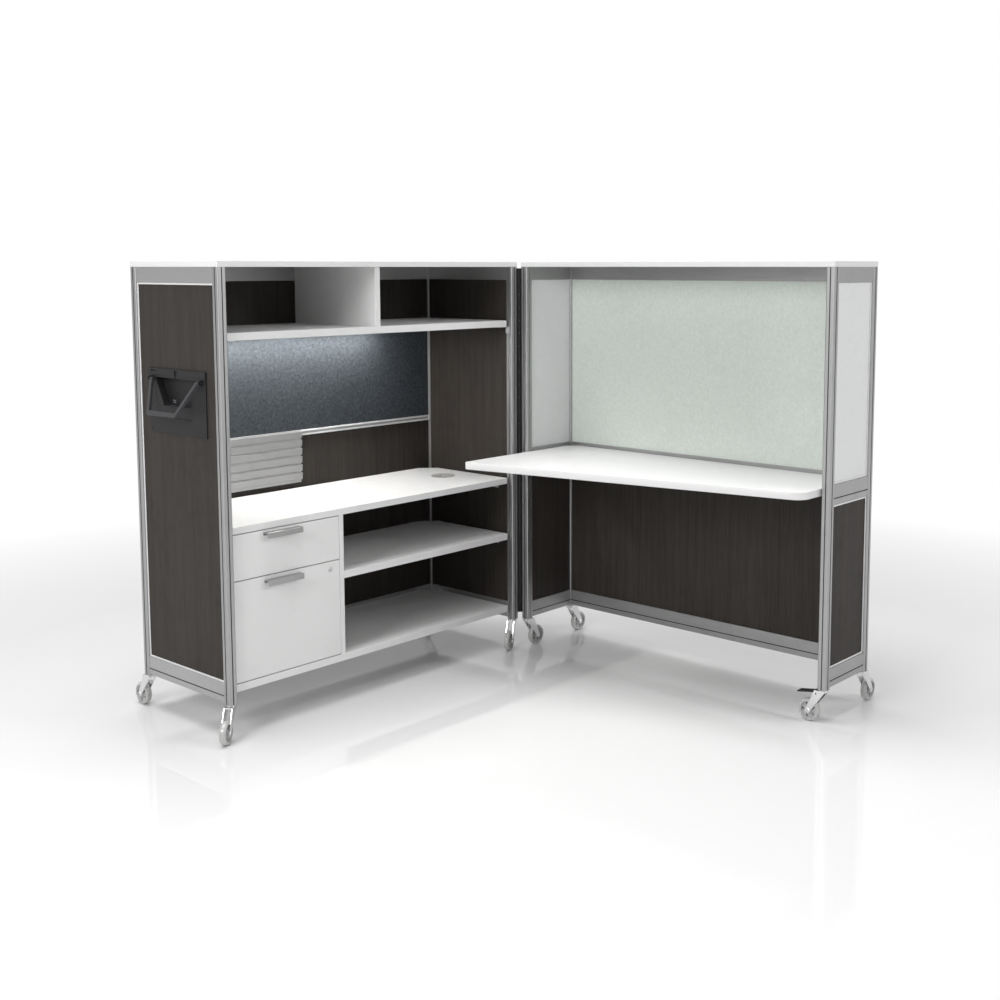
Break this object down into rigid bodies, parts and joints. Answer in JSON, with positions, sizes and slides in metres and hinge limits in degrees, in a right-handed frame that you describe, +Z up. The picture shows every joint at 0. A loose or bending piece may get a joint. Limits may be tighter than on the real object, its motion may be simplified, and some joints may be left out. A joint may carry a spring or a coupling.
{
  "type": "mobile folding office workstation",
  "caption": "Hinged pair of wheeled aluminium-framed units that fold together: a storage unit with shelves and drawers, and a desk unit with a marker board",
  "frame": {"origin": "on the floor, at the middle of the outline of the whole workstation as pictured, with its two units open at a right angle", "axes": "+Z up; +X along the storage unit's front, from its handle side to the hinge; +Y into the storage unit, away from the person who stands in front of it, and along the desk unit from its free end to the hinge"},
  "size_m": [1.7402, 1.8776, 1.48],
  "materials": {
    "frame_aluminium": "satin, brushed along its length",
    "dark_laminate": "matt dark laminate with an upright grain",
    "slate_board": "mottled, matt",
    "white_laminate": "satin",
    "white_panel": "matt",
    "marker_glass": "glossy, backed, pale green",
    "light_lens": "diffusing",
    "rail_aluminium": "satin",
    "pull_metal": "satin",
    "grommet_grey": "satin",
    "bracket_steel": "satin",
    "lock_chrome": "polished",
    "handle_plastic": "fine grained",
    "hinge_black": "matt",
    "pedal_black": "matt",
    "caster_chrome": "polished",
    "caster_tyre": "pale, slightly translucent"
  },
  "bodies": {
    "storage_unit": {"storage_posts": "frame_aluminium", "storage_rails": "frame_aluminium", "storage_mullion": "frame_aluminium", "storage_left_panel": "dark_laminate", "storage_wall_panels": "dark_laminate", "storage_back_board": "slate_board", "storage_cover": "white_laminate", "upper_shelf": "white_laminate", "shelf_divider": "white_laminate", "light_housing": "rail_aluminium", "light_lens": "light_lens", "worktop": "white_laminate", "grommet_sleeve": "grommet_grey", "tool_rail": "rail_aluminium", "lower_shelves": "white_laminate", "shelf_brackets": "bracket_steel", "pedestal_sides": "white_laminate", "pedestal_decks": "white_laminate", "pedestal_back_board": "white_laminate", "fixed_runners": "bracket_steel", "handle_tray": "handle_plastic", "storage_hinge_leaf": "hinge_black", "hinge_pin": "hinge_black"},
    "desk_unit": {"desk_hinge_leaf": "hinge_black", "desk_posts": "frame_aluminium", "desk_rails": "frame_aluminium", "desk_cover": "white_laminate", "desk_upper_side_panels": "white_panel", "desk_lower_panels": "dark_laminate", "marker_board": "marker_glass", "desk_top_board": "white_laminate", "desk_supports": "bracket_steel"},
    "box_drawer": {"box_drawer_front": "white_laminate", "box_drawer_tray": "white_laminate", "box_drawer_pull": "pull_metal", "box_drawer_runners": "bracket_steel"},
    "file_drawer": {"file_drawer_front": "white_laminate", "file_drawer_tray": "white_laminate", "file_drawer_pull": "pull_metal", "file_drawer_runners": "bracket_steel"},
    "lock_barrel": {"drawer_lock": "lock_chrome"},
    "grommet_lid": {"grommet_cap": "grommet_grey"},
    "bail": {"handle_bail": "handle_plastic"},
    "brake": {"brake_pedal": "pedal_black"},
    "caster_storage_front_left": {"fork_storage_front_left": "caster_chrome"},
    "roller_storage_front_left": {"wheel_storage_front_left": "caster_tyre"},
    "caster_storage_front_right": {"fork_storage_front_right": "caster_chrome"},
    "roller_storage_front_right": {"wheel_storage_front_right": "caster_tyre"},
    "caster_storage_back_left": {"fork_storage_back_left": "caster_chrome"},
    "roller_storage_back_left": {"wheel_storage_back_left": "caster_tyre"},
    "caster_storage_back_right": {"fork_storage_back_right": "caster_chrome"},
    "roller_storage_back_right": {"wheel_storage_back_right": "caster_tyre"},
    "caster_desk_front_left": {"fork_desk_front_left": "caster_chrome"},
    "roller_desk_front_left": {"wheel_desk_front_left": "caster_tyre"},
    "caster_desk_front_right": {"fork_desk_front_right": "caster_chrome"},
    "roller_desk_front_right": {"wheel_desk_front_right": "caster_tyre"},
    "caster_desk_back_left": {"fork_desk_back_left": "caster_chrome"},
    "roller_desk_back_left": {"wheel_desk_back_left": "caster_tyre"},
    "caster_desk_back_right": {"fork_desk_back_right": "caster_chrome"},
    "roller_desk_back_right": {"wheel_desk_back_right": "caster_tyre"}
  },
  "joints": [
    {"name": "fold", "type": "hinge", "parent": "storage_unit", "child": "desk_unit", "pos_m": [0.50765, 0.38025, 0.812], "axis": [0, 0, 1], "range_deg": [-90, 90]},
    {"name": "box_drawer_slide", "type": "slide", "parent": "storage_unit", "child": "box_drawer", "axis": [0, -1, 0], "range_m": [0, 0.33]},
    {"name": "file_drawer_slide", "type": "slide", "parent": "storage_unit", "child": "file_drawer", "axis": [0, -1, 0], "range_m": [0, 0.33]},
    {"name": "lock_turn", "type": "hinge", "parent": "file_drawer", "child": "lock_barrel", "pos_m": [-0.39435, 0.41525, 0.4645], "axis": [0, 1, 0], "range_deg": [0, 90]},
    {"name": "grommet_turn", "type": "hinge", "parent": "storage_unit", "child": "grommet_lid", "pos_m": [0.34165, 0.62725, 0.662], "axis": [0, 0, 1], "continuous": true},
    {"name": "bail_swing", "type": "hinge", "parent": "storage_unit", "child": "bail", "pos_m": [-0.81535, 0.62675, 1.109], "axis": [0, 1, 0], "range_deg": [-25, 60]},
    {"name": "swivel_storage_front_left", "type": "hinge", "parent": "storage_unit", "child": "caster_storage_front_left", "pos_m": [-0.79635, 0.40025, 0.112], "axis": [0, 0, -1], "continuous": true},
    {"name": "roll_storage_front_left", "type": "hinge", "parent": "caster_storage_front_left", "child": "roller_storage_front_left", "pos_m": [-0.83567, 0.37272, 0.0375], "axis": [0.5736, -0.8192, 0], "continuous": true},
    {"name": "swivel_storage_front_right", "type": "hinge", "parent": "storage_unit", "child": "caster_storage_front_right", "pos_m": [0.48765, 0.40025, 0.112], "axis": [0, 0, 1], "range_deg": [-115, 65]},
    {"name": "roll_storage_front_right", "type": "hinge", "parent": "caster_storage_front_right", "child": "roller_storage_front_right", "pos_m": [0.44414, 0.37996, 0.0375], "axis": [0.4226, -0.9063, 0], "continuous": true},
    {"name": "swivel_storage_back_left", "type": "hinge", "parent": "storage_unit", "child": "caster_storage_back_left", "pos_m": [-0.79635, 0.85325, 0.112], "axis": [0, 0, 1], "continuous": true},
    {"name": "roll_storage_back_left", "type": "hinge", "parent": "caster_storage_back_left", "child": "roller_storage_back_left", "pos_m": [-0.79635, 0.90125, 0.0375], "axis": [-1, 0, 0], "continuous": true},
    {"name": "swivel_storage_back_right", "type": "hinge", "parent": "storage_unit", "child": "caster_storage_back_right", "pos_m": [0.48765, 0.85325, 0.112], "axis": [0, 0, 1], "continuous": true},
    {"name": "roll_storage_back_right", "type": "hinge", "parent": "caster_storage_back_right", "child": "roller_storage_back_right", "pos_m": [0.48765, 0.90125, 0.0375], "axis": [-1, 0, 0], "continuous": true},
    {"name": "swivel_desk_front_left", "type": "hinge", "parent": "desk_unit", "child": "caster_desk_front_left", "pos_m": [0.52765, 0.36025, 0.112], "axis": [0, 0, -1], "range_deg": [-90, 90]},
    {"name": "roll_desk_front_left", "type": "hinge", "parent": "caster_desk_front_left", "child": "roller_desk_front_left", "pos_m": [0.57565, 0.36025, 0.0375], "axis": [0, 1, 0], "continuous": true},
    {"name": "swivel_desk_front_right", "type": "hinge", "parent": "desk_unit", "child": "caster_desk_front_right", "pos_m": [0.52765, -0.92375, 0.112], "axis": [0, 0, -1], "continuous": true},
    {"name": "roll_desk_front_right", "type": "hinge", "parent": "caster_desk_front_right", "child": "roller_desk_front_right", "pos_m": [0.52765, -0.87575, 0.0375], "axis": [-1, 0, 0], "continuous": true},
    {"name": "swivel_desk_back_left", "type": "hinge", "parent": "desk_unit", "child": "caster_desk_back_left", "pos_m": [0.78465, 0.36025, 0.112], "axis": [0, 0, -1], "continuous": true},
    {"name": "roll_desk_back_left", "type": "hinge", "parent": "caster_desk_back_left", "child": "roller_desk_back_left", "pos_m": [0.83265, 0.36025, 0.0375], "axis": [0, 1, 0], "continuous": true},
    {"name": "swivel_desk_back_right", "type": "hinge", "parent": "desk_unit", "child": "caster_desk_back_right", "pos_m": [0.78465, -0.92375, 0.112], "axis": [0, 0, -1], "continuous": true},
    {"name": "roll_desk_back_right", "type": "hinge", "parent": "caster_desk_back_right", "child": "roller_desk_back_right", "pos_m": [0.83265, -0.92375, 0.0375], "axis": [0, 1, 0], "continuous": true},
    {"name": "brake_press", "type": "hinge", "parent": "caster_desk_front_right", "child": "brake", "pos_m": [0.52765, -0.90375, 0.0977], "axis": [-1, 0, 0], "range_deg": [0, 25]}
  ]
}
